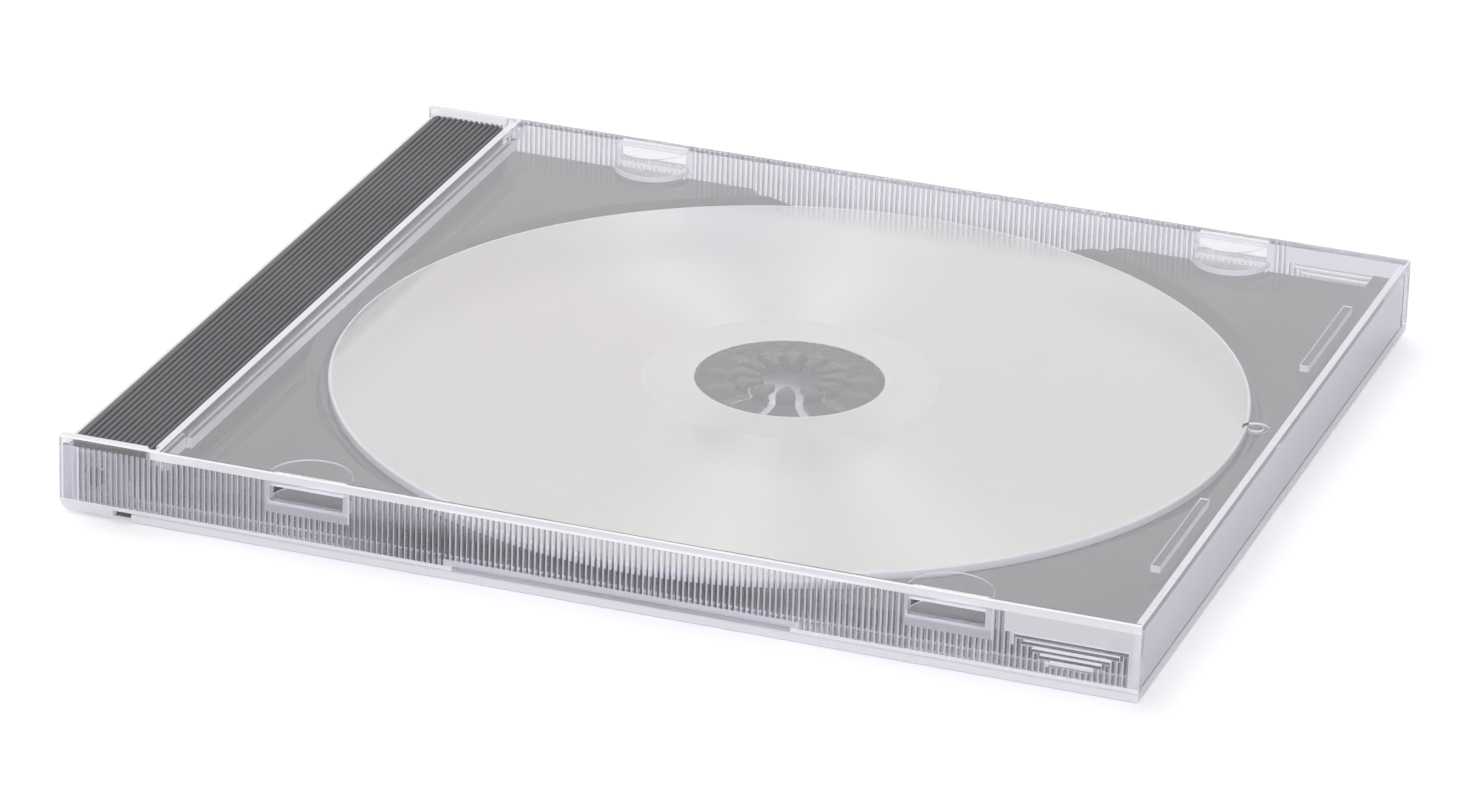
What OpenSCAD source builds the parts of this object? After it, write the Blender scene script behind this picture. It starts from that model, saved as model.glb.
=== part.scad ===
/* [Case] */
// Length of the closed case, from the hinge end to the opening end
case_length = 142; // [140:0.5:150]
// Width of the closed case, along the hinge line
case_width = 125; // [124:0.5:132]
// Thickness of the closed case
case_thickness = 10.4; // [10.2:0.1:12]
// Thickness of the lid panel
panel_thickness = 1.2; // [1:0.1:1.4]
// Thickness of the base floor
floor_thickness = 1.2; // [0.9:0.1:1.4]
// Thickness of the lid side walls
lid_wall = 1.3; // [1.1:0.1:1.6]
// Thickness of the two upright spines of the base
spine_thickness = 0.9; // [0.7:0.1:1.1]
// Side gap between the lid walls and the base
side_gap = 0.15; // [0.1:0.05:0.3]
// Gap between the closed lid and what it closes on
closing_gap = 0.1; // [0.05:0.05:0.3]
// Chamfer along the long outer edges of the lid, the base and the tray margin
edge_ease = 0.2; // [0.1:0.05:0.25]

/* [Hinge] */
// Distance from the hinge end to the pivot line
pivot_inset = 4.6; // [4.4:0.1:5]
// Diameter of the pivot studs on the lid arms
pivot_diameter = 2.8; // [2.2:0.1:3.2]
// Radial running clearance of a stud in its ear
pivot_clearance = 0.08; // [0.03:0.01:0.1]
// Thickness of the base ears that take the studs
ear_thickness = 1.2; // [1:0.1:1.6]
// Length of the base ears, from the hinge end
ear_length = 9; // [8:0.25:9.5]
// Height of the base ears
ear_height = 8.2; // [7:0.1:8.3]
// Rounding of the ear corner
ear_rounding = 2.5; // [1:0.25:4]
// Length of the lid arm foot that reaches down past the base floor
arm_foot_length = 7.3; // [6:0.1:8]
// Height of the arm foot above the table
arm_foot_lift = 0.35; // [0.2:0.05:0.8]
// Rounding of the arm foot at the hinge end
arm_rounding = 1.5; // [1.4:0.1:2]
// Gap between the swinging arm foot and the base lip
arm_swing_gap = 2.5; // [2.2:0.1:4]

/* [Lid] */
// Distance from the hinge end to the edge of the lid panel
panel_setback = 12.4; // [12.2:0.1:13.5]
// Radius of the relief notches between the arms and the panel
notch_radius = 0.7; // [0.4:0.1:1]
// Distance from the panel edge to the long booklet stop
stop_setback = 2; // [1.4:0.1:3]
// Thickness of the booklet stops
stop_thickness = 0.9; // [0.6:0.1:1.2]
// Height of the booklet stops below the panel
stop_height = 1.5; // [1:0.1:1.8]
// Distance from the case side to the jog in the long booklet stop
stop_jog_inset = 6.6; // [4:0.1:10]
// Length of the short bars near the opening end
bar_length = 21.6; // [15:0.2:28]
// Width of the short bars
bar_width = 1.2; // [0.8:0.1:1.5]
// Height of the short bars below the panel
bar_height = 1; // [0.6:0.1:1.2]
// Distance from the opening end to the short bars
bar_inset = 3.2; // [3:0.1:4.5]
// Distance from the middle line to the middle of a short bar
bar_offset = 33.6; // [20:0.2:42]
// Outer diameter of the round moulding mark on the panel
mark_diameter = 3.5; // [2:0.1:4.5]
// Depth of the round moulding mark
mark_depth = 0.3; // [0.1:0.05:0.5]

/* [Booklet tabs] */
// Radius of the half-moon tabs
tab_radius = 5.4; // [4:0.1:6.5]
// Thickness of the tabs
tab_thickness = 0.8; // [0.6:0.1:1]
// Distance from the hinge end to the first pair of tabs
tab_first = 33.6; // [28:0.2:38]
// Distance between the two pairs of tabs
tab_spacing = 83.8; // [76:0.2:88]
// Gap between the tray deck and the tabs
tab_gap = 0.2; // [0.15:0.05:0.4]
// Height of the windows in the side walls
window_height = 2; // [1.5:0.1:2.2]
// Clear width of the windows
window_width = 9.8; // [8:0.1:11]
// Depth of the half-moon thinning in the panel above each tab
moon_depth = 0.25; // [0.1:0.05:0.5]

/* [Side ribs] */
// Spacing of the fine upright ribs on the side walls
rib_pitch = 0.75; // [0.6:0.05:1.5]
// Depth of the fine ribs
rib_depth = 0.25; // [0.15:0.05:0.4]
// Height of the plain band above the ribs
top_band = 1.2; // [1:0.1:2.2]
// Height of the plain band below the ribs
bottom_band = 0.6; // [0.3:0.1:1]
// Length of the finger relief in the lower edge of each side wall
relief_length = 44.4; // [30:0.2:56]
// Height of the finger relief
relief_height = 0.6; // [0.3:0.1:1]
// Number of nested rows in the thumb grips
grip_rows = 5; // [3:1:6]
// Length of the longest row of the thumb grips
grip_length = 14.4; // [12:0.2:15]
// How much each grip row is shorter at either end
grip_step = 1.1; // [0.8:0.1:1.2]

/* [Tray] */
// Wall thickness of the tray
tray_wall = 1; // [0.8:0.1:1.2]
// Gap between the tray and the parts round it
tray_gap = 0.1; // [0.05:0.05:0.3]
// Height of the tray deck above the table
deck_height = 5.6; // [5.2:0.1:5.8]
// Distance from the case side to the edge of the deck
deck_inset = 2.4; // [2.3:0.05:3]
// Width of the exposed ribbed strip
strip_width = 10.9; // [10:0.1:11]
// How far the top of the strip lies below the lid face
strip_drop = 0.8; // [0.8:0.05:1.5]
// Distance from the case side to the end of the strip
strip_end_inset = 1.7; // [1.6:0.05:2.5]
// Slope of the strip wall, measured at the deck
strip_slope = 0.9; // [0.3:0.1:1.2]
// Number of ribs along the strip
strip_ribs = 13; // [8:1:16]
// Spacing of the strip ribs
strip_pitch = 0.81; // [0.6:0.01:0.81]
// Depth of the grooves between the strip ribs
strip_groove = 0.25; // [0.1:0.05:0.4]
// Corner rounding of the strip, beside the lid panel
strip_rounding = 2; // [1:0.1:3]
// Width of the raised margin at the opening end
margin_width = 3.3; // [2:0.1:5]
// Height of the raised margin above the deck
margin_rise = 1.8; // [1:0.1:2]
// Length of the finger cut-outs in the long sides
cutout_length = 51; // [40:0.5:54]
// Depth of the finger cut-outs
cutout_depth = 1.8; // [1:0.1:2.4]
// Depth of the notches below the booklet tabs
tab_notch = 0.5; // [0.2:0.05:0.6]

/* [Disc and hub] */
// Diameter of the disc
disc_diameter = 120; // [119:0.25:120.5]
// Thickness of the disc
disc_thickness = 1.2; // [1.1:0.05:1.3]
// Diameter of the disc's centre hole
disc_hole = 15; // [14.8:0.05:15.2]
// Distance from the hinge end to the disc centre
disc_setback = 75.4; // [75:0.1:76]
// How far the disc face lies below the tray deck
disc_drop = 0.1; // [0:0.05:0.3]
// Gap between the disc edge and the step of the recess
disc_edge_gap = 0.4; // [0.2:0.05:0.6]
// Width of the level ledge round the disc
ledge_width = 0.6; // [0.3:0.1:0.8]
// Width of the sloped rim of the recess
rim_width = 1.8; // [1:0.1:2]
// Depth of the sloped rim
rim_depth = 1.2; // [0.8:0.1:1.5]
// Free height under the disc
under_disc = 0.9; // [0.6:0.05:1]
// Radius of the raised seat in the middle of the recess
seat_radius = 16.5; // [14:0.25:17]
// Radius of the ring moulded under the disc
stack_ring_radius = 17.5; // [17.2:0.1:18.5]
// Height of the ring moulded under the disc
stack_ring_height = 0.2; // [0.1:0.05:0.25]
// Number of hub fingers
finger_count = 12; // [8:1:14]
// Radial play between the hub and the disc hole
hub_play = 0.2; // [0.1:0.05:0.3]
// How far the snap bead reaches past the hole
bead_reach = 0.12; // [0.05:0.01:0.2]
// Height of the hub above the disc
hub_rise = 0.9; // [0.6:0.05:1.2]
// Thickness of the hub shell
hub_shell = 0.8; // [0.6:0.05:0.9]
// Radius of the ring of finger tips
tip_ring_radius = 4.2; // [4:0.05:4.6]
// Radius of a rounded finger tip
tip_radius = 0.45; // [0.35:0.05:0.55]
// Width of the slots between the fingers, inside the hub
slot_inner_width = 1.2; // [0.8:0.05:1.3]
// Width of the slots in the seat
slot_outer_width = 1.45; // [1:0.05:1.6]
// Radius at which the slots end
slot_reach = 11.2; // [9.5:0.1:12.5]

/* [Base] */
// Height of the low rails that hold the tray, above the floor
rail_height = 1.6; // [0.8:0.1:2.5]
// Thickness of the low rails
rail_thickness = 0.65; // [0.4:0.05:0.7]

/* [Hidden] */
$fn = 96;

// Small overlap that joins solids and carries cutters past faces
over = 0.05;
reach = 1;
// Facets of the small round forms
small_round = 32;

// Ends, sides and levels of the closed case, with its origin in the middle of the underside
hinge_end = -case_length / 2;
open_end = case_length / 2;
side = case_width / 2;
panel_under = case_thickness - panel_thickness;
pivot_x = hinge_end + pivot_inset;
pivot_z = case_thickness / 2;
panel_edge = hinge_end + panel_setback;
lid_inner_side = side - lid_wall;
base_side = lid_inner_side - side_gap;
disc_x = hinge_end + disc_setback;

// Levels and edges of the base
lip_start = hinge_end + arm_foot_length + arm_swing_gap;
spine_top = panel_under - closing_gap;
spine_setin = 0.1;
open_spine_setin = 0.3;
open_spine_inner = open_end - open_spine_setin - spine_thickness;

// Levels and edges of the tray
tray_left = hinge_end + spine_setin + spine_thickness + tray_gap;
tray_right = open_spine_inner - tray_gap;
deck_side = side - deck_inset;
strip_top = case_thickness - strip_drop;
strip_right = tray_left + strip_width;
strip_foot = strip_right + strip_slope;
strip_plate_under = ear_height + 3 * tray_gap;
strip_side = side - strip_end_inset;
strip_end_wall = base_side - ear_thickness - 2 * tray_gap;
margin_left = tray_right - margin_width;
seat_level = deck_height - disc_drop - disc_thickness;
disc_top = seat_level + disc_thickness;
recess_floor = seat_level - under_disc;
disc_radius = disc_diameter / 2;
step_radius = disc_radius + disc_edge_gap;
ledge_radius = step_radius + ledge_width;
rim_radius = ledge_radius + rim_width;
cutout_side = deck_side - cutout_depth;
hub_radius = disc_hole / 2 - hub_play;
bead_radius = disc_hole / 2 + bead_reach;
hub_top = disc_top + hub_rise;
seat_slope = seat_level - recess_floor;

// Levels of the lid walls
wall_bottom = floor_thickness + closing_gap;
rib_bottom = wall_bottom + bottom_band;
rib_top = case_thickness - top_band;
tab_under = deck_height + tab_gap;
tab_top = tab_under + tab_thickness;
window_top = tab_top + window_height;
shelf_margin = 0.3;
relief_top = wall_bottom + relief_height;
relief_rib_bottom = relief_top + 1.5 * bottom_band;
relief_side = relief_length / 2 + bottom_band;
end_band = 2.5;
post_band = 1.5;
grip_start = open_end - post_band - grip_length - rib_pitch;
grip_top = tab_top - rib_pitch;
tab_places = [for (k = [0, 1]) hinge_end + tab_first + k * tab_spacing];

// A ridge rises from its foot at 0 to a flat crest
crest_from = 0.3;
crest_to = 0.7;

// Upright ribs stand on one grid along the wall, counted from the end band
rib_grid = hinge_end + end_band;
function rib_after(x) = ceil((x - rib_grid) / rib_pitch);
function rib_before(x) = floor((x - rib_grid) / rib_pitch);
function rib_x(number) = rib_grid + number * rib_pitch;

// Rib numbers at which the plain fields round the windows, the finger relief and the thumb grip start and end
plate_first = [for (x = tab_places) rib_before(x - window_width / 2 - shelf_margin)];
plate_last = [for (x = tab_places) rib_after(x + window_width / 2 + shelf_margin)];
relief_first = rib_before(disc_x - relief_side);
relief_last = rib_after(disc_x + relief_side);
grip_first = rib_before(grip_start);

// Plan of a row of ridges along X, from y = 0 at the crests to the wall core
module ridge_row(count, pitch, depth) {
    feet = [for (k = [0:count - 1]) each [
        [k * pitch, depth],
        [(k + crest_from) * pitch, 0],
        [(k + crest_to) * pitch, 0]
    ]];
    polygon(concat(feet, [[count * pitch, depth], [count * pitch, depth + over], [0, depth + over]]));
}

// A stretch of upright ribs on the wall at -Y, between two rib numbers
module rib_stretch(first, last, from_z, to_z) {
    if (last > first)
        translate([rib_grid + first * rib_pitch, -side, from_z])
            linear_extrude(to_z - from_z)
                ridge_row(last - first, rib_pitch, rib_depth);
}

// A block given by its low corner and high corner
module block(low, high) {
    translate(low) cube(high - low);
}

// Square bar, turned on its corner, that chamfers a long straight edge
module edge_bar(middle, length, turned) {
    translate(middle)
        rotate([45, 0, turned])
            cube([length, edge_ease * sqrt(2), edge_ease * sqrt(2)], center = true);
}

// Half-moon plan that grows inwards from the wall at -Y
module half_moon(radius, from_z, to_z) {
    intersection() {
        translate([0, -lid_inner_side, from_z]) cylinder(r = radius, h = to_z - from_z);
        block([-2 * radius, -lid_inner_side - over, from_z], [2 * radius, 0, to_z]);
    }
}

// Plain surfaces of one lid wall: bands, posts and the fields round the windows
module wall_bands() {
    block([hinge_end, -side + rib_depth, wall_bottom], [open_end, -lid_inner_side, case_thickness]);
    plain_field(hinge_end, open_end, rib_top, case_thickness);
    plain_field(hinge_end, open_end, wall_bottom, rib_bottom);
    plain_field(hinge_end, hinge_end + end_band, wall_bottom, case_thickness);
    plain_field(open_end - post_band, open_end, wall_bottom, case_thickness);
    block([hinge_end, -side, arm_foot_lift], [hinge_end + arm_foot_length, -lid_inner_side, rib_bottom]);
    plain_field(rib_x(relief_first), rib_x(relief_last), wall_bottom, relief_rib_bottom);
    for (k = [0, 1])
        plain_field(rib_x(plate_first[k]), rib_x(plate_last[k]), tab_under - tab_thickness, case_thickness);
    plain_field(rib_x(grip_first), open_end, grip_top + rib_pitch, case_thickness);
}

// A plain field of the wall at -Y, level with the crests of the ribs
module plain_field(from_x, to_x, from_z, to_z) {
    block([from_x, -side, from_z], [to_x, -side + rib_depth + over, to_z]);
}

// Upright ribs of one lid wall, broken by the windows, the finger relief and the thumb grip
module wall_ribs() {
    low = rib_bottom - over;
    high = rib_top + over;
    rib_stretch(0, plate_first[0], low, high);
    rib_stretch(plate_last[0], relief_first, low, high);
    rib_stretch(relief_first, relief_last, relief_rib_bottom - over, high);
    rib_stretch(relief_last, plate_first[1], low, high);
    rib_stretch(plate_last[1], grip_first, low, high);
    for (k = [0, 1])
        rib_stretch(plate_first[k], plate_last[k], low, tab_under - tab_thickness + over);
}

// Thumb grip: nested level ridges, with upright ribs below and beside them
module thumb_grip() {
    middle = grip_start + rib_pitch + grip_length / 2;
    for (row = [0:grip_rows - 1]) {
        half = grip_length / 2 - row * grip_step;
        translate([middle - half, -side, grip_top - row * rib_pitch])
            rotate([90, 0, 90])
                linear_extrude(2 * half)
                    polygon([[rib_depth + over, 0], [rib_depth, 0], [0, crest_from * rib_pitch],
                             [0, crest_to * rib_pitch], [rib_depth, rib_pitch], [rib_depth + over, rib_pitch]]);
    }
    for (rib = [grip_first:rib_after(open_end - post_band) - 1]) {
        from_middle = abs(rib_x(rib + 0.5) - middle);
        rows_above = min(grip_rows, max(0, ceil((grip_length / 2 - from_middle) / grip_step)));
        rib_stretch(rib, rib + 1, rib_bottom - over, grip_top - (rows_above - 1) * rib_pitch);
    }
}

// One side wall of the lid with its arm, tabs, windows and pivot stud
module lid_side() {
    difference() {
        union() {
            wall_bands();
            wall_ribs();
            thumb_grip();
        }
        for (x = tab_places)
            block([x - window_width / 2, -side - reach, tab_top],
                  [x + window_width / 2, -lid_inner_side + reach, window_top]);
        block([disc_x - relief_length / 2, -side - reach, 0],
              [disc_x + relief_length / 2, -lid_inner_side + reach, relief_top]);
        arm_corner();
    }
    for (x = tab_places)
        translate([x, 0, 0]) half_moon(tab_radius, tab_under, tab_top);
    translate([pivot_x, -lid_inner_side - over, pivot_z])
        rotate([-90, 0, 0])
            cylinder(d = pivot_diameter, h = side_gap + ear_thickness + over, $fn = 48);
}

// What is taken off the foot of the arm, so that it swings clear of the base lip
module arm_corner() {
    difference() {
        block([hinge_end - reach, -side - reach, arm_foot_lift - reach],
              [hinge_end + arm_rounding, -lid_inner_side + reach, arm_foot_lift + arm_rounding]);
        translate([hinge_end + arm_rounding, -side - 2 * reach, arm_foot_lift + arm_rounding])
            rotate([-90, 0, 0])
                cylinder(r = arm_rounding, h = lid_wall + 4 * reach, $fn = 48);
    }
}

// Stops under the panel that keep a booklet in place
module booklet_stops() {
    stop_x = panel_edge + stop_setback;
    stop_bottom = panel_under - stop_height;
    jog_side = side - stop_jog_inset;
    block([stop_x, -jog_side, stop_bottom], [stop_x + stop_thickness, jog_side, panel_under + over]);
    for (end = [0, 1])
        mirror([0, end, 0])
            block([stop_x - stop_thickness, -lid_inner_side - over, stop_bottom],
                  [stop_x + over, -jog_side + stop_thickness, panel_under + over]);
    for (end = [-1, 1])
        block([open_end - bar_inset - bar_width, end * bar_offset - bar_length / 2, panel_under - bar_height],
              [open_end - bar_inset, end * bar_offset + bar_length / 2, panel_under + over]);
}

// Round moulding mark: a ring sunk into the face of the panel
module moulding_mark() {
    translate([open_end - bar_inset - bar_width / 2, 0, case_thickness - mark_depth])
        difference() {
            cylinder(d = mark_diameter, h = mark_depth + reach, $fn = 48);
            cylinder(d = mark_diameter * 0.6, h = mark_depth, $fn = small_round);
        }
}

module lid() {
    color([0.86, 0.86, 0.9, 0.35])
    difference() {
        union() {
            block([panel_edge, -lid_inner_side - over, panel_under],
                  [open_end, lid_inner_side + over, case_thickness]);
            booklet_stops();
            for (end = [0, 1])
                mirror([0, end, 0]) lid_side();
        }
        moulding_mark();
        edge_bar([open_end, 0, case_thickness], case_width + 2 * reach, 90);
        edge_bar([open_end, 0, panel_under], 2 * lid_inner_side, 90);
        edge_bar([panel_edge, 0, case_thickness], 2 * lid_inner_side, 90);
        for (end = [0, 1])
            mirror([0, end, 0]) {
                edge_bar([0, -side, case_thickness], case_length + 2 * reach, 0);
                translate([panel_edge, -lid_inner_side, panel_under - reach])
                    cylinder(r = notch_radius, h = panel_thickness + 2 * reach, $fn = small_round);
                for (x = tab_places)
                    translate([x, 0, 0]) half_moon(tab_radius, panel_under - reach, panel_under + moon_depth);
            }
    }
}

// Ear at the hinge end that a pivot stud turns in, on the side at -Y
module hinge_ear() {
    translate([hinge_end + spine_setin, -base_side + ear_thickness, 0])
        rotate([90, 0, 0])
            linear_extrude(ear_thickness) {
                square([ear_length - ear_rounding, ear_height]);
                square([ear_length, ear_height - ear_rounding]);
                translate([ear_length - ear_rounding, ear_height - ear_rounding]) circle(r = ear_rounding);
            }
}

module base() {
    color([0.88, 0.88, 0.92, 0.35])
    difference() {
        union() {
            block([lip_start, -side, 0], [open_end, side, floor_thickness]);
            block([hinge_end + spine_setin, -base_side, 0], [lip_start + over, base_side, floor_thickness]);
            block([hinge_end + spine_setin, -base_side, 0],
                  [hinge_end + spine_setin + spine_thickness, base_side, spine_top]);
            block([open_spine_inner, -base_side, 0], [open_spine_inner + spine_thickness, base_side, spine_top]);
            for (end = [0, 1])
                mirror([0, end, 0]) {
                    hinge_ear();
                    block([hinge_end + spine_setin + ear_length, -base_side, 0],
                          [open_spine_inner, -base_side + rail_thickness, floor_thickness + rail_height]);
                }
        }
        for (level = [0, floor_thickness])
            edge_bar([open_end, 0, level], case_width + 2 * reach, 90);
        edge_bar([open_spine_inner + spine_thickness, 0, spine_top], case_width, 90);
        edge_bar([hinge_end + spine_setin, 0, spine_top], case_width, 90);
        for (end = [0, 1])
            mirror([0, end, 0]) {
                for (level = [0, floor_thickness])
                    edge_bar([0, -side, level], case_length + 2 * reach, 0);
                translate([pivot_x, -base_side - reach, pivot_z])
                    rotate([-90, 0, 0])
                        cylinder(r = pivot_diameter / 2 + pivot_clearance,
                                 h = ear_thickness + 2 * reach, $fn = 48);
            }
    }
}

// Cross-section of the exposed strip, with fine ribs along its top
module strip_section() {
    rows = strip_ribs * strip_pitch;
    from_x = tray_left + (strip_width - rows) / 2;
    ribs = [for (k = [0:strip_ribs - 1]) each [
        [from_x + (k + crest_from) * strip_pitch, strip_top],
        [from_x + (k + crest_to) * strip_pitch, strip_top],
        [from_x + (k + 1) * strip_pitch, strip_top - strip_groove]
    ]];
    polygon(concat([[tray_left, floor_thickness], [tray_left, strip_top]], ribs,
                   [[strip_right, strip_top], [strip_foot, deck_height], [strip_foot, floor_thickness]]));
}

module strip_body(half_length, from_z, to_z) {
    intersection() {
        translate([0, half_length, 0]) rotate([90, 0, 0]) linear_extrude(2 * half_length) strip_section();
        block([tray_left - reach, -half_length, from_z], [strip_foot + reach, half_length, to_z]);
    }
}

// Plan of the strip's top plate, with rounded corners
module strip_plan() {
    corner = strip_rounding / 2;
    difference() {
        translate([tray_left, -strip_side]) square([strip_width + strip_slope, 2 * strip_side]);
        for (end = [0, 1])
            mirror([0, end]) {
                translate([strip_right, -strip_side])
                    difference() {
                        translate([-strip_rounding, -reach])
                            square([strip_rounding + strip_slope + reach, strip_rounding + reach]);
                        translate([-strip_rounding, strip_rounding]) circle(r = strip_rounding);
                    }
                translate([tray_left, -strip_side])
                    difference() {
                        translate([-reach, -reach]) square(corner + reach);
                        translate([corner, corner]) circle(r = corner);
                    }
            }
    }
}

// Plan of the deck: notched at the tabs and cut out for fingers at both long sides
module deck_plan() {
    half = cutout_length / 2;
    difference() {
        translate([strip_foot - over, -deck_side]) square([tray_right - strip_foot + over, 2 * deck_side]);
        for (end = [0, 1])
            mirror([0, end]) {
                translate([disc_x - half, -deck_side - reach])
                    square([cutout_length, cutout_depth + reach]);
                for (x = tab_places)
                    translate([x - tab_radius, -deck_side - reach])
                        square([2 * tab_radius, tab_notch + reach]);
                for (flip = [0, 1])
                    translate([disc_x, 0])
                        mirror([flip, 0])
                            translate([half - over, -deck_side])
                                difference() {
                                    translate([0, -reach]) square([cutout_depth + over, cutout_depth + reach]);
                                    translate([cutout_depth + over, cutout_depth]) circle(r = cutout_depth);
                                }
            }
    }
}

// Space taken by the disc: a floor, a level ledge and a sloped rim
module disc_recess() {
    translate([disc_x, 0, 0])
        rotate_extrude($fn = 180)
            polygon([[0, recess_floor], [step_radius, recess_floor], [step_radius, deck_height - rim_depth],
                     [ledge_radius, deck_height - rim_depth], [rim_radius, deck_height],
                     [rim_radius, case_thickness], [0, case_thickness]]);
}

// Hollow underside of the tray, so that every wall has the moulding's thickness
module tray_hollows() {
    deck_under = deck_height - tray_wall;
    keep_out = ledge_radius + rim_width * (1 - tray_wall / rim_depth) + 1.1 * tray_wall;
    half = cutout_length / 2 + cutout_depth + tray_wall;
    block([tray_left + tray_wall, -strip_end_wall + tray_wall, 0],
          [strip_right - tray_wall, strip_end_wall - tray_wall, strip_top - tray_wall - strip_groove]);
    difference() {
        union() {
            block([strip_foot + tray_wall, -deck_side + tray_wall + tab_notch, 0],
                  [disc_x - half, deck_side - tray_wall - tab_notch, deck_under]);
            block([disc_x + half, -deck_side + tray_wall + tab_notch, 0],
                  [tray_right - tray_wall, deck_side - tray_wall - tab_notch, deck_under]);
            block([margin_left + tray_wall, -deck_side + tray_wall + tab_notch, 0],
                  [tray_right - tray_wall, deck_side - tray_wall - tab_notch, deck_under + margin_rise]);
        }
        translate([disc_x, 0, -reach]) cylinder(r = keep_out, h = deck_height + margin_rise + reach, $fn = 180);
    }
    intersection() {
        translate([disc_x, 0, 0]) cylinder(r = step_radius, h = recess_floor - tray_wall, $fn = 180);
        block([hinge_end, -cutout_side + tray_wall, 0], [open_end, cutout_side - tray_wall, recess_floor]);
    }
    translate([disc_x, 0, 0]) cylinder(r = seat_radius - tray_wall / 2, h = case_thickness);
}

// Shell of the hub: seat for the disc, ring wall with its snap bead, and sloping finger tops
module hub_shell() {
    inner = hub_radius - hub_shell;
    shoulder = hub_top - hub_shell;
    bead_level = (disc_top + hub_top) / 2;
    rotate_extrude()
        polygon([[tip_ring_radius, shoulder - hub_shell / 2], [tip_ring_radius, hub_top - hub_shell / 2],
                 [inner, hub_top], [hub_radius, hub_top - hub_rise / 4], [bead_radius, bead_level],
                 [hub_radius, disc_top + over], [hub_radius, seat_level], [seat_radius, seat_level],
                 [seat_radius + seat_slope, recess_floor], [seat_radius + seat_slope, recess_floor - tray_wall],
                 [seat_radius, recess_floor - tray_wall], [seat_radius - tray_wall, seat_level - hub_shell],
                 [inner, seat_level - hub_shell], [inner, shoulder]]);
    for (k = [0:finger_count - 1])
        rotate([0, 0, (k + 0.5) * 360 / finger_count])
            translate([tip_ring_radius, 0, shoulder - hub_shell / 2])
                cylinder(r = tip_radius, h = hub_shell, $fn = small_round);
}

// Slots that part the fingers, with round outer ends
module hub_slots() {
    end_radius = slot_reach - slot_outer_width / 2;
    for (k = [0:finger_count - 1])
        rotate([0, 0, 90 + k * 360 / finger_count]) {
            block([tip_ring_radius - tip_radius, -slot_inner_width / 2, 0],
                  [hub_radius + over, slot_inner_width / 2, case_thickness]);
            block([hub_radius, -slot_outer_width / 2, 0], [end_radius, slot_outer_width / 2, case_thickness]);
            translate([end_radius, 0, 0]) cylinder(d = slot_outer_width, h = case_thickness, $fn = small_round);
        }
}

module tray() {
    color([0.17, 0.16, 0.17])
    difference() {
        union() {
            difference() {
                union() {
                    strip_body(strip_end_wall, floor_thickness, strip_plate_under + over);
                    intersection() {
                        strip_body(strip_side, strip_plate_under, case_thickness);
                        translate([0, 0, strip_plate_under]) linear_extrude(case_thickness) strip_plan();
                    }
                    translate([0, 0, floor_thickness])
                        linear_extrude(deck_height - floor_thickness) deck_plan();
                    block([margin_left, -deck_side, deck_height - over],
                          [tray_right, deck_side, deck_height + margin_rise]);
                }
                disc_recess();
                tray_hollows();
                edge_bar([margin_left, 0, deck_height + margin_rise], case_width, 90);
            }
            translate([disc_x, 0, 0]) hub_shell();
        }
        translate([disc_x, 0, 0]) hub_slots();
    }
}

module disc() {
    hole = disc_hole / 2;
    ease = disc_thickness / 8;
    color([0.87, 0.87, 0.86])
    translate([disc_x, 0, seat_level])
        rotate_extrude($fn = 180)
            polygon([[hole, 0], [stack_ring_radius, 0], [stack_ring_radius, -stack_ring_height],
                     [stack_ring_radius + 2 * stack_ring_height, -stack_ring_height],
                     [stack_ring_radius + 2 * stack_ring_height, 0], [disc_radius - ease, 0],
                     [disc_radius, ease], [disc_radius, disc_thickness - ease],
                     [disc_radius - ease, disc_thickness], [hole, disc_thickness]]);
}

base();
tray();
lid();
disc();
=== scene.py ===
import math
import bmesh
import bpy
from mathutils import Matrix, Vector


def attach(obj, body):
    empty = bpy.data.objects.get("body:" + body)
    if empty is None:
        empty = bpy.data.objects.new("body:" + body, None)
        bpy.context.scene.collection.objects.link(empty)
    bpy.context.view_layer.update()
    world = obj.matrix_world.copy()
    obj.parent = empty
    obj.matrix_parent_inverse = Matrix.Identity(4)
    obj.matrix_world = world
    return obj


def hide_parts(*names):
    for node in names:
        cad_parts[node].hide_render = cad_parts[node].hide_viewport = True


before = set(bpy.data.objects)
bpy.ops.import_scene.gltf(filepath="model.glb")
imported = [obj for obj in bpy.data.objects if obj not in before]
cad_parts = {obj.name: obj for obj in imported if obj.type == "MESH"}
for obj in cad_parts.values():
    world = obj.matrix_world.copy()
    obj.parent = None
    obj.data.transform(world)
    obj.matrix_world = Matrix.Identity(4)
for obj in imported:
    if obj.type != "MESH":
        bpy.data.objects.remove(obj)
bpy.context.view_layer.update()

mm = 0.001
scene = bpy.context.scene
print("frame loaded")


# small helpers for colours, nodes and pieces

def linear(hexColour, alpha=1.0):
    channels = [int(hexColour[k:k + 2], 16) / 255 for k in (1, 3, 5)]
    return [c / 12.92 if c <= 0.04045 else ((c + 0.055) / 1.055) ** 2.4 for c in channels] + [alpha]


def addNode(tree, kind, inputs=None, links=None, **settings):
    # inputs sets sockets, links joins sockets to other nodes' outputs
    node = tree.nodes.new(kind)
    for key, value in settings.items():
        setattr(node, key, value)
    for key, value in (inputs or {}).items():
        node.inputs[key].default_value = value
    for key, socket in (links or {}).items():
        tree.links.new(socket, node.inputs[key])
    return node


def newMaterial(name):
    material = bpy.data.materials.new(name)
    material.use_nodes = True
    material.node_tree.nodes.clear()
    return material, material.node_tree


def fillRamp(node, stops):
    ramp = node.color_ramp
    while len(ramp.elements) > 1:
        ramp.elements.remove(ramp.elements[-1])
    ramp.elements[0].position, ramp.elements[0].color = stops[0][0], linear(stops[0][1])
    for place, colour in stops[1:]:
        ramp.elements.new(place).color = linear(colour)


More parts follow.
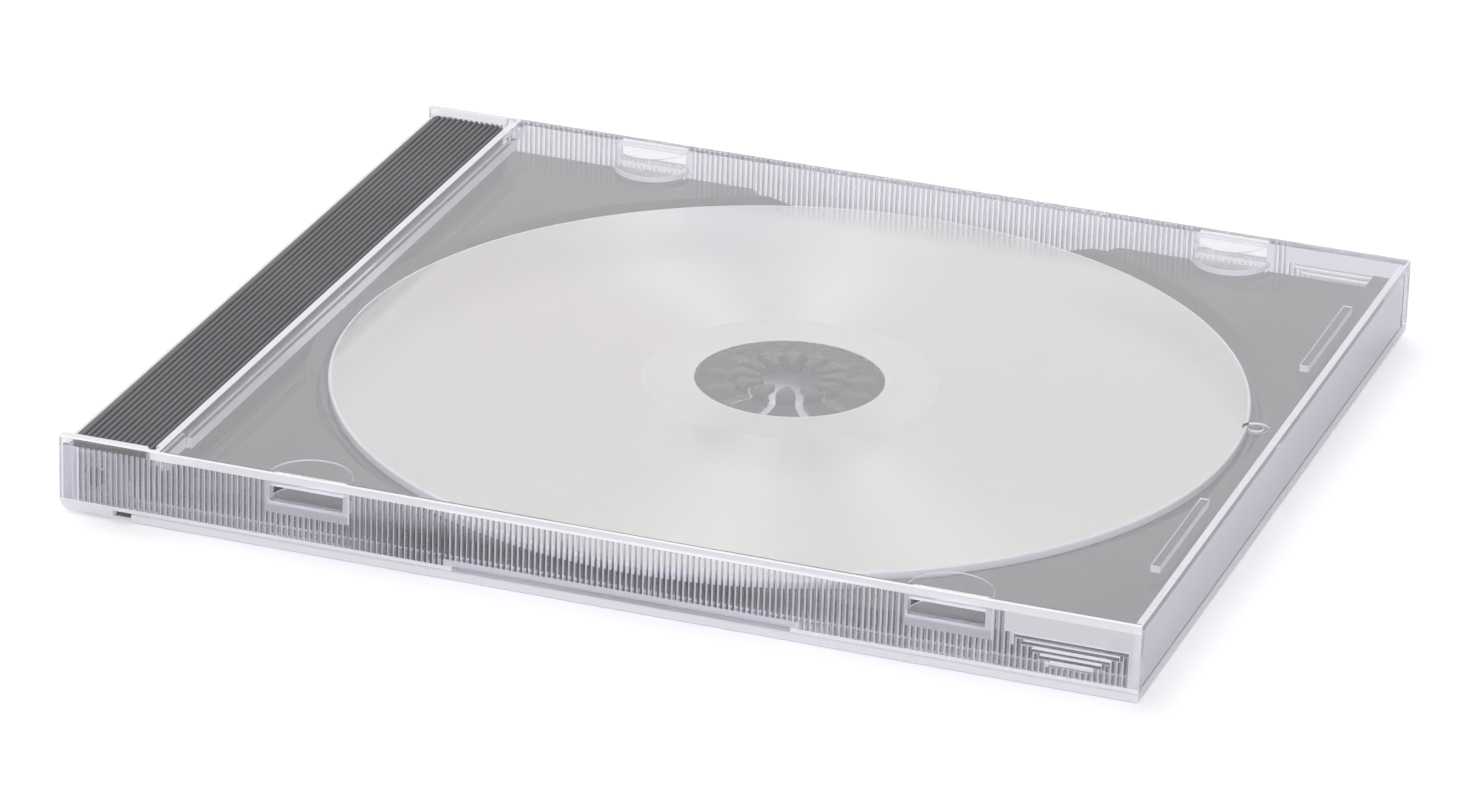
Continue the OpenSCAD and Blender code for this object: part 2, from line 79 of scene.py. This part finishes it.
def easedCopy(nodeName, pieceName, ease, cuts=()):
    # a merged copy of a CAD node with its sharp edges eased, so that they catch the light
    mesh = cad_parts[nodeName].data.copy()
    bm = bmesh.new()
    bm.from_mesh(mesh)
    bmesh.ops.remove_doubles(bm, verts=bm.verts, dist=0.002 * mm)
    bmesh.ops.dissolve_limit(bm, angle_limit=math.radians(0.4), verts=bm.verts, edges=bm.edges)
    for axis, beyond, point, normal in cuts:
        # parts a flat face where its finish changes: faces whose corners all lie beyond a distance along an axis
        outer = [face for face in bm.faces if min(abs(vert.co[axis]) for vert in face.verts) > beyond * mm]
        geom = outer + list({part for face in outer for part in list(face.verts) + list(face.edges)})
        bmesh.ops.bisect_plane(bm, geom=geom, dist=0.001 * mm, plane_co=Vector(point) * mm, plane_no=normal)
    bmesh.ops.remove_doubles(bm, verts=bm.verts, dist=0.03 * mm)
    bm.normal_update()
    # facets of a curve shade as one surface, and flat faces stay flat up to their edges
    curved = [face.calc_area() < 6 * mm * mm and
              any(math.radians(0.5) < edge.calc_face_angle(0) < math.radians(28) for edge in face.edges)
              for face in bm.faces]
    bm.to_mesh(mesh)
    bm.free()
    if "custom_normal" in mesh.attributes:
        mesh.attributes.remove(mesh.attributes["custom_normal"])  # the loose triangles' own, wrong once merged
    mesh.materials.clear()
    piece = bpy.data.objects.new(pieceName, mesh)
    scene.collection.objects.link(piece)
    mesh.set_sharp_from_angle(angle=math.radians(28))
    mesh.polygons.foreach_set("use_smooth", curved)
    bevel = piece.modifiers.new("easedEdges", "BEVEL")
    bevel.width = ease * mm
    bevel.segments = 1
    bevel.limit_method = "ANGLE"
    bevel.angle_limit = math.radians(28)
    bevel.use_clamp_overlap = False
    return piece


# camera at the photograph's viewing angle, turned and zoomed so that the case fills the frame
cameraSettings = {
    "place": (278.6, -813.4, 377.3),  # mm from the middle of the underside
    "aim": (-2.29, -2.11, 2.31),
    "roll": 1.75,                     # degrees, the photograph leans this much
    "lens": 176.0,
}


def makeCamera(s):
    place, aim = Vector(s["place"]) * mm, Vector(s["aim"]) * mm
    turn = (aim - place).to_track_quat("-Z", "Y").to_matrix().to_4x4()
    data = bpy.data.cameras.new("studioCamera")
    data.lens = s["lens"]
    data.sensor_width = 36
    data.clip_start = 0.01
    camera = bpy.data.objects.new("studioCamera", data)
    camera.matrix_world = Matrix.Translation(place) @ turn @ Matrix.Rotation(math.radians(s["roll"]), 4, "Z")
    scene.collection.objects.link(camera)
    scene.camera = camera


makeCamera(cameraSettings)
print("camera placed")


# studio: white surroundings, a pale floor and soft lamps
studioSettings = {
    "worldLevel": 0.42,    # light that the white surroundings give
    "bounces": 32,         # clear walls seen on edge send a ray to and fro many times
    "floorColour": ("#f7f7f7", "#fbfbfb"),
    "floorLift": 0.16,     # brings the floor up to the white behind it, and leaves the shadow
    "floorThrough": 0.25,   # how far the floor looks white in gloss and through clear plastic
    "paintedTrayShade": (40, 62),  # mm from the middle, between which the painted shade of the black tray fades from the floor's white
    "paintedHubLightReach": (9.5, 5),   # mm from the middle, and into which a pool of light through the hub is painted on the floor
    "paintedHubLightLevel": 0.6,
    "floorSize": 8000,
    "lamps": [
        # name, place in mm, size in mm, power in watts
        ("overheadSoftbox", (-500, 500, 1100), 1100, 8.0),
        ("cameraSoftbox", (500, -1300, 600), 1000, 15.0),
    ],
}


def seenDirectly(tree):
    # 1 for rays from the camera and those that gloss and clear plastic send on
    path = addNode(tree, "ShaderNodeLightPath")
    first = addNode(tree, "ShaderNodeMath", operation="MAXIMUM",
                    links={0: path.outputs["Is Camera Ray"], 1: path.outputs["Is Glossy Ray"]})
    return addNode(tree, "ShaderNodeMath", operation="MAXIMUM",
                   links={0: first.outputs[0], 1: path.outputs["Is Transmission Ray"]}).outputs[0]


def makeStudio(s):
    scene.cycles.max_bounces = s["bounces"]
    scene.cycles.transmission_bounces = s["bounces"]
    world = bpy.data.worlds.new("whiteStudio")
    scene.world = world
    world.use_nodes = True
    tree = world.node_tree
    tree.nodes.clear()
    seen = seenDirectly(tree)
    lit = addNode(tree, "ShaderNodeBackground", {"Color": (1, 1, 1, 1), "Strength": s["worldLevel"]})
    shown = addNode(tree, "ShaderNodeBackground", {"Color": (1, 1, 1, 1), "Strength": 1.0})
    mix = addNode(tree, "ShaderNodeMixShader", links={0: seen, 1: lit.outputs[0], 2: shown.outputs[0]})
    addNode(tree, "ShaderNodeOutputWorld", links={"Surface": mix.outputs[0]})

    # matte white paper: even, with no gloss of its own
    paper, tree = newMaterial("matteWhitePaper")
    paper.cycles.emission_sampling = "NONE"   # its white is only a backdrop and lights nothing
    grain = addNode(tree, "ShaderNodeTexNoise", {"Scale": 1 / (40 * mm), "Detail": 2.0},
                    {"Vector": addNode(tree, "ShaderNodeTexCoord").outputs["Object"]})
    tone = addNode(tree, "ShaderNodeValToRGB", links={"Fac": grain.outputs["Fac"]})
    fillRamp(tone, [(0.3, s["floorColour"][0]), (0.7, s["floorColour"][1])])
    path = addNode(tree, "ShaderNodeLightPath")
    through = addNode(tree, "ShaderNodeMath", operation="MAXIMUM",
                      links={0: path.outputs["Is Glossy Ray"], 1: path.outputs["Is Transmission Ray"]})
    diffuse = addNode(tree, "ShaderNodeBsdfDiffuse", links={"Color": tone.outputs[0]})
    lift = addNode(tree, "ShaderNodeMath", {1: s["floorLift"]}, {0: path.outputs["Is Camera Ray"]}, operation="MULTIPLY")
    glow = addNode(tree, "ShaderNodeEmission", {"Color": (1, 1, 1, 1)}, {"Strength": lift.outputs[0]})
    direct = addNode(tree, "ShaderNodeAddShader", links={0: diffuse.outputs[0], 1: glow.outputs[0]})
    white = addNode(tree, "ShaderNodeEmission", {"Color": (1, 1, 1, 1), "Strength": 1.0})
    # the floor's white seen in gloss and through clear plastic is masked by distance from the middle: painted shade
    # under the black tray, and a painted pool of light under the hub
    away = addNode(tree, "ShaderNodeVectorMath", {1: (0, 0, 0)}, {0: addNode(tree, "ShaderNodeTexCoord").outputs["Object"]},
                   operation="DISTANCE")
    outOfPaintedTrayShade = addNode(tree, "ShaderNodeMapRange", {"From Min": s["paintedTrayShade"][0] * mm, "From Max": s["paintedTrayShade"][1] * mm,
                                                 "To Max": s["floorThrough"]}, {"Value": away.outputs["Value"]})
    paintedHubLightPool = addNode(tree, "ShaderNodeMapRange", {"From Min": s["paintedHubLightReach"][0] * mm, "From Max": s["paintedHubLightReach"][1] * mm,
                                              "To Max": s["paintedHubLightLevel"]}, {"Value": away.outputs["Value"]})
    lit = addNode(tree, "ShaderNodeMath", links={0: outOfPaintedTrayShade.outputs[0], 1: paintedHubLightPool.outputs[0]}, operation="MAXIMUM")
    share = addNode(tree, "ShaderNodeMath", links={0: through.outputs[0], 1: lit.outputs[0]}, operation="MULTIPLY")
    both = addNode(tree, "ShaderNodeMixShader", links={0: share.outputs[0], 1: direct.outputs[0], 2: white.outputs[0]})
    addNode(tree, "ShaderNodeOutputMaterial", links={"Surface": both.outputs[0]})

    bm = bmesh.new()
    bmesh.ops.create_grid(bm, x_segments=1, y_segments=1, size=s["floorSize"] * mm / 2)
    mesh = bpy.data.meshes.new("studioFloor")
    bm.to_mesh(mesh)
    bm.free()
    mesh.materials.append(paper)
    floor = bpy.data.objects.new("studioFloor", mesh)
    floor.location.z = -0.02 * mm
    scene.collection.objects.link(floor)

    for name, place, size, power in s["lamps"]:
        data = bpy.data.lights.new(name, "AREA")
        data.shape = "DISK"
        data.size = size * mm
        data.energy = power
        lamp = bpy.data.objects.new(name, data)
        lamp.location = Vector(place) * mm
        lamp.rotation_euler = (-lamp.location).to_track_quat("-Z", "Y").to_euler()
        lamp.visible_glossy = False     # gloss shows the even white surroundings instead
        lamp.visible_transmission = False
        scene.collection.objects.link(lamp)


makeStudio(studioSettings)
scene.view_settings.view_transform = "Standard"
print("studio ready")


# clear moulded polystyrene
clearSettings = {
    "shadowTint": "#eceaf2",  # what a lamp's light keeps after it has gone through a wall
    # finishes from clear to milky, lit and shaded copies of the one clear plastic: the milky ones paint the light that
    # walls lead out at ribs, bands and rims, which glow more the narrower they are, and RibShade paints shade
    "finishes": [
        # name, tint, how much of the light goes straight through
        ("Clear", "#fbfafd", 0.94),
        ("LitBand", "#f0eefb", 0.66),
        ("LitEdge", "#f7f6fd", 0.4),
        ("BrightEdge", "#fbfbff", 0.2),
        ("RibShade", "#b4b5c0", 0.5),
        ("LitFloorRim", "#f1f0f7", 0.3),
        ("LitField", "#f3f2fa", 0.52),
    ],
    # painted shade: the ribs' shaded flanks are coloured greyer where they send the eye to the black tray, most of all
    # above the finger relief
    "deepShade": "#5a5b66",
    "shadeMiddle": -2.0,      # mm along the wall
    "shadeReach": (22, 36),   # mm from there, over which the deep shade fades out
    "shadeLevels": (5.4, 8.4),  # mm, and upwards
    # levels and places, in mm, where the outer face of a lid wall passes from plain fields to fine ribs
    "fieldLevels": (1.9, 2.8, 5.0, 9.2),
    "fieldPlaces": (-68.5, -58.6, -43.0, -31.75, -19.0, 27.5, 41.0, 52.25, 53.75, 69.5),
    "crestWidth": 0.5,        # mm, anything narrower on that face is the crest of a rib
    "gripStart": 52,          # mm, the plain field round the thumb grip
    "wallInside": 61.2,
    "panelEdge": -58.6,
    "edgeLitBand": 1.2,          # mm of the panel's top beside the strip that its edge lights
    "smooth": 0.0,
    "scuffed": 0.003,
    "scuffSize": 9,           # mm, patches left by handling
}


def paintedRibShade(tree, place, s, tint):
    # painted shade: grey by the place along the wall and up it
    parts = addNode(tree, "ShaderNodeSeparateXYZ", links={0: place})
    along = addNode(tree, "ShaderNodeMath", {1: s["shadeMiddle"] * mm}, {0: parts.outputs["X"]}, operation="SUBTRACT")
    away = addNode(tree, "ShaderNodeMath", links={0: along.outputs[0]}, operation="ABSOLUTE")
    near = addNode(tree, "ShaderNodeMapRange", {"From Min": s["shadeReach"][1] * mm, "From Max": s["shadeReach"][0] * mm},
                   {"Value": away.outputs[0]})
    low = addNode(tree, "ShaderNodeMapRange", {"From Min": s["shadeLevels"][1] * mm, "From Max": s["shadeLevels"][0] * mm},
                  {"Value": parts.outputs["Z"]})
    share = addNode(tree, "ShaderNodeMath", links={0: near.outputs[0], 1: low.outputs[0]}, operation="MULTIPLY")
    tone = addNode(tree, "ShaderNodeValToRGB", links={"Fac": share.outputs[0]})
    fillRamp(tone, [(0.0, tint), (1.0, s["deepShade"])])
    return tone.outputs[0]


def clearPolystyrene(name, s, tint, clear, ior=1.59):
    # injection-moulded clear polystyrene: glassy, with bright edges, a faint lavender cast and light handling marks
    material, tree = newMaterial(name)
    place = addNode(tree, "ShaderNodeTexCoord").outputs["Object"]
    patches = addNode(tree, "ShaderNodeTexNoise", {"Scale": 1 / (s["scuffSize"] * mm), "Detail": 4.0, "Roughness": 0.6},
                      {"Vector": place})
    rough = addNode(tree, "ShaderNodeMapRange",
                    {"From Min": 0.52, "From Max": 0.75, "To Min": s["smooth"], "To Max": s["scuffed"]},
                    {"Value": patches.outputs["Fac"]})
    plastic = addNode(tree, "ShaderNodeBsdfPrincipled",
                      {"Base Color": linear(tint), "IOR": ior, "Transmission Weight": clear},
                      {"Roughness": rough.outputs[0]})
    letThrough = addNode(tree, "ShaderNodeBsdfTransparent", {"Color": linear(s["shadowTint"])})
    path = addNode(tree, "ShaderNodeLightPath")
    mix = addNode(tree, "ShaderNodeMixShader",
                  links={0: path.outputs["Is Shadow Ray"], 1: plastic.outputs[0], 2: letThrough.outputs[0]})
    if "RibShade" in name:
        tree.links.new(paintedRibShade(tree, place, s, tint), plastic.inputs["Base Color"])
    addNode(tree, "ShaderNodeOutputMaterial", links={"Surface": mix.outputs[0]})
    return material


def makeClearPart(nodeName, pieceName, body, ease, s, finishOf, cuts=()):
    piece = easedCopy(nodeName, pieceName, ease, cuts)
    mesh = piece.data
    for finish, tint, clear in s["finishes"]:
        mesh.materials.append(clearPolystyrene(pieceName + finish, s, tint, clear))
    for face in mesh.polygons:
        corners = [mesh.vertices[k].co / mm for k in face.vertices]
        width = max(c.x for c in corners) - min(c.x for c in corners)
        height = max(c.z for c in corners) - min(c.z for c in corners)
        face.material_index = finishOf(face.center / mm, face.normal, min(width, height), s)
    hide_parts(nodeName)
    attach(piece, body)


# each face's finish: 0 clear, 4 painted rib shade, the others paler copies with painted light
def lidFinish(at, normal, breadth, s):
    upright = abs(normal.z) < 0.95
    onArm = at.x < s["panelEdge"]
    chamfer = 0.6 < abs(normal.z) < 0.8
    if at.z > 9 and chamfer or at.x < -50 and abs(normal.x) > 0.9:
        return 3                     # painted bright edges: chamfered edges, the panel's edge and the long booklet stop
    if abs(at.y) > 62.2:
        # outer face of a side wall: one flank of a rib gets painted shade and the other painted light, plain fields are
        # painted milky and lit, crests clear
        if abs(normal.y) < 0.95:
            shaded = normal.x > 0.5 or normal.z < -0.5
            return 4 if shaded and upright and abs(normal.y) > 0.5 else 2 if upright else 1
        if at.z > s["fieldLevels"][-1]:
            return 0 if onArm else 2
        if at.z < s["fieldLevels"][0]:
            return 2
        if breadth < s["crestWidth"]:
            return 0
        return 6 if at.x > s["gripStart"] else 1
    if at.z > 10.3 and (abs(at.y) > s["wallInside"] if onArm else at.x < s["panelEdge"] + s["edgeLitBand"]):
        return 3                     # painted bright edges: top of the arms, and the panel's edge seen through its top
    if upright and abs(at.y) < s["wallInside"] - 0.1 and (at.z > 9.15 and abs(at.y) > 55 or 5.7 < at.z < 6.7):
        return 3                     # painted bright edges: rims of the half-moons and of the booklet tabs below them
    if abs(at.x) > 66 and upright and at.z > 8:
        return 3 if at.x < 70.9 else 2    # short bars and the moulding mark get painted bright edges, and the panel's end a painted lit band
    return 0


# each face's finish: 0 clear, the others paler copies with painted light
def baseFinish(at, normal, breadth, s):
    if at.z < 1.3 and abs(normal.z) < 0.8:
        return 5                     # painted lit rim of the floor
    if abs(at.x) > 69.5 and at.z > 8.8:
        return 3                     # painted bright top of the spines
    return 1 if abs(at.x) > 69.5 else 0


wallCuts = [(1, 62.2, (0, 0, level), (0, 0, 1)) for level in clearSettings["fieldLevels"]]
wallCuts += [(1, 62.2, (place, 0, 0), (1, 0, 0)) for place in clearSettings["fieldPlaces"]]
topCuts = [(2, 10.39, (0, end * clearSettings["wallInside"], 0), (0, 1, 0)) for end in (-1, 1)]
topCuts += [(2, 10.39, (clearSettings["panelEdge"] + inward, 0, 0), (1, 0, 0)) for inward in (0, clearSettings["edgeLitBand"])]
makeClearPart("lid", "clearLid", "lid", 0.04, clearSettings, lidFinish, wallCuts + topCuts)
makeClearPart("base", "clearBase", "case", 0.04, clearSettings, baseFinish)
print("clear lid and base made")


# black tray
traySettings = {
    "ease": 0.04,
    "glossColour": "#151416",
    "glossRoughness": (0.04, 0.12),
    "grooveColour": "#1d1c1f",
    # painted highlight on the strip's rib crests
    "crestHighlightColour": "#626165",
    "crestLevels": (9.38, 9.58),   # mm, from the foot of the strip's grooves to near their crests
    "textureRoughness": (0.32, 0.45),
    "hubMiddle": (4.4, 0),         # mm
    "hubRadius": 13,
    "hubColour": "#121114",
    # painted highlight on the tops of the hub's fingers
    "fingerHighlightColour": "#4b4a4e",
    "fingerLevels": (5.2, 7.0),    # mm, from the seat to the tops of the hub's fingers
    "hubRoughness": (0.28, 0.36),
    "stripRight": -58.0,   # mm, foot of the strip's sloped wall
    "stripLow": 5.7,       # mm, level of the deck beside it
    "grain": 0.35,         # mm, the mould's fine spark texture, drawn coarse enough to show
}


def blackPolystyrene(name, colour, roughness, specular, grain, depth, crest=None, levels=(0, 1)):
    # injection-moulded black polystyrene: deep black, even, with a slight change of gloss across the moulding
    material, tree = newMaterial(name)
    place = addNode(tree, "ShaderNodeTexCoord").outputs["Object"]
    broad = addNode(tree, "ShaderNodeTexNoise", {"Scale": 1 / (14 * mm), "Detail": 3.0}, {"Vector": place})
    rough = addNode(tree, "ShaderNodeMapRange", {"From Min": 0.3, "From Max": 0.7, "To Min": roughness[0],
                                                 "To Max": roughness[1]}, {"Value": broad.outputs["Fac"]})
    fine = addNode(tree, "ShaderNodeTexNoise", {"Scale": 1 / (grain * mm), "Detail": 2.0}, {"Vector": place})
    bump = addNode(tree, "ShaderNodeBump", {"Strength": 1.0, "Distance": depth * mm}, {"Height": fine.outputs["Fac"]})
    plastic = addNode(tree, "ShaderNodeBsdfPrincipled",
                      {"Base Color": linear(colour), "IOR": 1.59, "Specular IOR Level": specular},
                      {"Roughness": rough.outputs[0], "Normal": bump.outputs[0]})
    if crest:
        # painted highlight: colour paler towards the crests than in the grooves between them
        parts = addNode(tree, "ShaderNodeSeparateXYZ", links={0: place})
        height = addNode(tree, "ShaderNodeMapRange", {"From Min": levels[0] * mm, "From Max": levels[1] * mm},
                         {"Value": parts.outputs["Z"]})
        paintedCrestHighlight = addNode(tree, "ShaderNodeValToRGB", links={"Fac": height.outputs[0]})
        fillRamp(paintedCrestHighlight, [(0.0, colour), (1.0, crest)])
        tree.links.new(paintedCrestHighlight.outputs[0], plastic.inputs["Base Color"])
    addNode(tree, "ShaderNodeOutputMaterial", links={"Surface": plastic.outputs[0]})
    return material


def makeTray(s):
    tray = easedCopy("tray", "blackTray", s["ease"])
    mesh = tray.data
    mesh.materials.append(blackPolystyrene("glossBlackPolystyrene", s["glossColour"], s["glossRoughness"], 0.5, 2, 0.0005))
    mesh.materials.append(blackPolystyrene("texturedBlackPolystyrene", s["grooveColour"], s["textureRoughness"],
                                           0.3, s["grain"], 0.004, s["crestHighlightColour"], s["crestLevels"]))
    mesh.materials.append(blackPolystyrene("satinBlackPolystyrene", s["hubColour"], s["hubRoughness"],
                                           0.2, s["grain"], 0.002, s["fingerHighlightColour"], s["fingerLevels"]))
    for face in mesh.polygons:
        at = face.center / mm
        if at.x < s["stripRight"] and at.z > s["stripLow"]:
            face.material_index = 1
        elif all((mesh.vertices[k].co.to_2d() / mm - Vector(s["hubMiddle"])).length < s["hubRadius"] for k in face.vertices):
            face.material_index = 2
    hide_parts("tray")
    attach(tray, "case")


makeTray(traySettings)
print("tray made")


# disc
discSettings = {
    "centre": 4.4,          # mm along X from the middle of the case
    "hole": 7.5,
    # outer radius and finish of each ring: 0 clear, 1 rim painted lit, 2 pale ring, 3 silver
    "rings": [(12.45, 0), (12.75, 1), (19.45, 2), (59.55, 3), (60.0, 1)],
    "low": 4.3,
    "high": 5.5,
    "ease": 0.15,
    "clearIor": 1.2,
    "paleRing": "#f5f3ee",
    # painted sheen: turns from +X and colours of the pastel bands that the fine pits spread the light into, with paler
    # painted highlight streaks, fixed round the middle
    "bands": [(0, "#e8e7e0"), (0.03, "#e7e7e0"), (0.10, "#eae7e0"), (0.16, "#ebe9e1"), (0.22, "#eaeae2"),
              (0.25, "#f1f4eb"), (0.265, "#f7fbf1"), (0.285, "#f7fbf1"), (0.31, "#eceae6"), (0.335, "#ece8ea"),
              (0.36, "#f6faf1"), (0.38, "#f6faf1"), (0.40, "#eff1e9"), (0.42, "#ebe9e1"), (0.445, "#eee7e1"),
              (0.50, "#e9e6df"), (0.60, "#e8e5de"), (0.66, "#e9e7e0"), (0.72, "#e8e9e1"), (0.745, "#eef1e8"),
              (0.765, "#f7fbf1"), (0.785, "#f7fbf1"), (0.81, "#eae8e2"), (0.83, "#ede8e3"), (0.85, "#f5f9f0"),
              (0.87, "#f5f9f0"), (0.90, "#eaeae3"), (0.94, "#ebe8e1"), (1.0, "#e8e7e0")],
}


def silveredPolycarbonate(s):
    # polycarbonate over a sputtered silver layer: a soft mirror, with the pale bands that its pits spread round the
    # middle painted into its colour as sheen
    material, tree = newMaterial("silveredPolycarbonate")
    place = addNode(tree, "ShaderNodeTexCoord").outputs["Object"]
    centred = addNode(tree, "ShaderNodeMapping", {"Location": (-s["centre"] * mm, 0, 0)}, {"Vector": place})
    parts = addNode(tree, "ShaderNodeSeparateXYZ", links={0: centred.outputs[0]})
    angle = addNode(tree, "ShaderNodeMath", operation="ARCTAN2", links={0: parts.outputs["Y"], 1: parts.outputs["X"]})
    turn = addNode(tree, "ShaderNodeMath", {1: 1 / (2 * math.pi)}, {0: angle.outputs[0]}, operation="MULTIPLY")
    whole = addNode(tree, "ShaderNodeMath", {1: 1.0}, {0: turn.outputs[0]}, operation="WRAP")
    whole.inputs[2].default_value = 0.0
    bands = addNode(tree, "ShaderNodeValToRGB", links={"Fac": whole.outputs[0]})
    bands.color_ramp.interpolation = "B_SPLINE"
    fillRamp(bands, s["bands"])
    fine = addNode(tree, "ShaderNodeTexNoise", {"Scale": 1 / (30 * mm), "Detail": 3.0}, {"Vector": place})
    rough = addNode(tree, "ShaderNodeMapRange", {"To Min": 0.16, "To Max": 0.24}, {"Value": fine.outputs["Fac"]})
    silver = addNode(tree, "ShaderNodeBsdfPrincipled", {"Metallic": 1.0},
                     {"Base Color": bands.outputs[0], "Roughness": rough.outputs[0]})
    addNode(tree, "ShaderNodeOutputMaterial", links={"Surface": silver.outputs[0]})
    return material


def paleRingCoat(s):
    # the unwritten ring inside the data: the same layer, but even and whiter
    material, tree = newMaterial("paleSilveredRing")
    place = addNode(tree, "ShaderNodeTexCoord").outputs["Object"]
    fine = addNode(tree, "ShaderNodeTexNoise", {"Scale": 1 / (8 * mm), "Detail": 3.0}, {"Vector": place})
    rough = addNode(tree, "ShaderNodeMapRange", {"To Min": 0.25, "To Max": 0.35}, {"Value": fine.outputs["Fac"]})
    silver = addNode(tree, "ShaderNodeBsdfPrincipled", {"Metallic": 1.0, "Base Color": linear(s["paleRing"])},
                     {"Roughness": rough.outputs[0]})
    addNode(tree, "ShaderNodeOutputMaterial", links={"Surface": silver.outputs[0]})
    return material


def makeDisc(s):
    bm = bmesh.new()
    low, high, ease = s["low"], s["high"], s["ease"]
    edge = s["rings"][-1][0]
    inner = [s["hole"]] + [radius for radius, finish in s["rings"][:-1]]
    section = [(radius, high) for radius in inner] + [(edge - ease, high), (edge, high - ease)]
    section += [(radius, low + high - level) for radius, level in reversed(section)]
    verts = [bm.verts.new((radius * mm, 0, level * mm)) for radius, level in section]
    edges = [bm.edges.new((verts[k], verts[(k + 1) % len(verts)])) for k in range(len(verts))]
    bmesh.ops.spin(bm, geom=verts + edges, cent=(0, 0, 0), axis=(0, 0, 1), angle=2 * math.pi, steps=180, use_merge=True)
    bmesh.ops.remove_doubles(bm, verts=bm.verts, dist=0.002 * mm)
    bmesh.ops.recalc_face_normals(bm, faces=bm.faces)
    for face in bm.faces:
        middle = face.calc_center_median()
        radius = math.hypot(middle.x, middle.y) / mm
        face.material_index = next((finish for outer, finish in s["rings"] if radius < outer), 1)
    bmesh.ops.translate(bm, verts=bm.verts, vec=(s["centre"] * mm, 0, 0))
    mesh = bpy.data.meshes.new("silverDisc")
    bm.to_mesh(mesh)
    bm.free()
    mesh.shade_smooth()
    mesh.set_sharp_from_angle(angle=math.radians(28))
    # the rims are a lit copy of the clear plastic, paler and far less clear: painted light
    # between the lid and the tray the clear middle shows far less gloss than its plastic has in the open
    for material in (clearPolystyrene("clearPolycarbonate", clearSettings, "#fbfbfc", 1.0, s["clearIor"]),
                     clearPolystyrene("litPolycarbonateRim", clearSettings, "#fdfdfd", 0.15),
                     paleRingCoat(s), silveredPolycarbonate(s)):
        mesh.materials.append(material)
    disc = bpy.data.objects.new("silverDisc", mesh)
    scene.collection.objects.link(disc)
    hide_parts("disc")
    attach(disc, "case")


makeDisc(discSettings)
print("disc made")
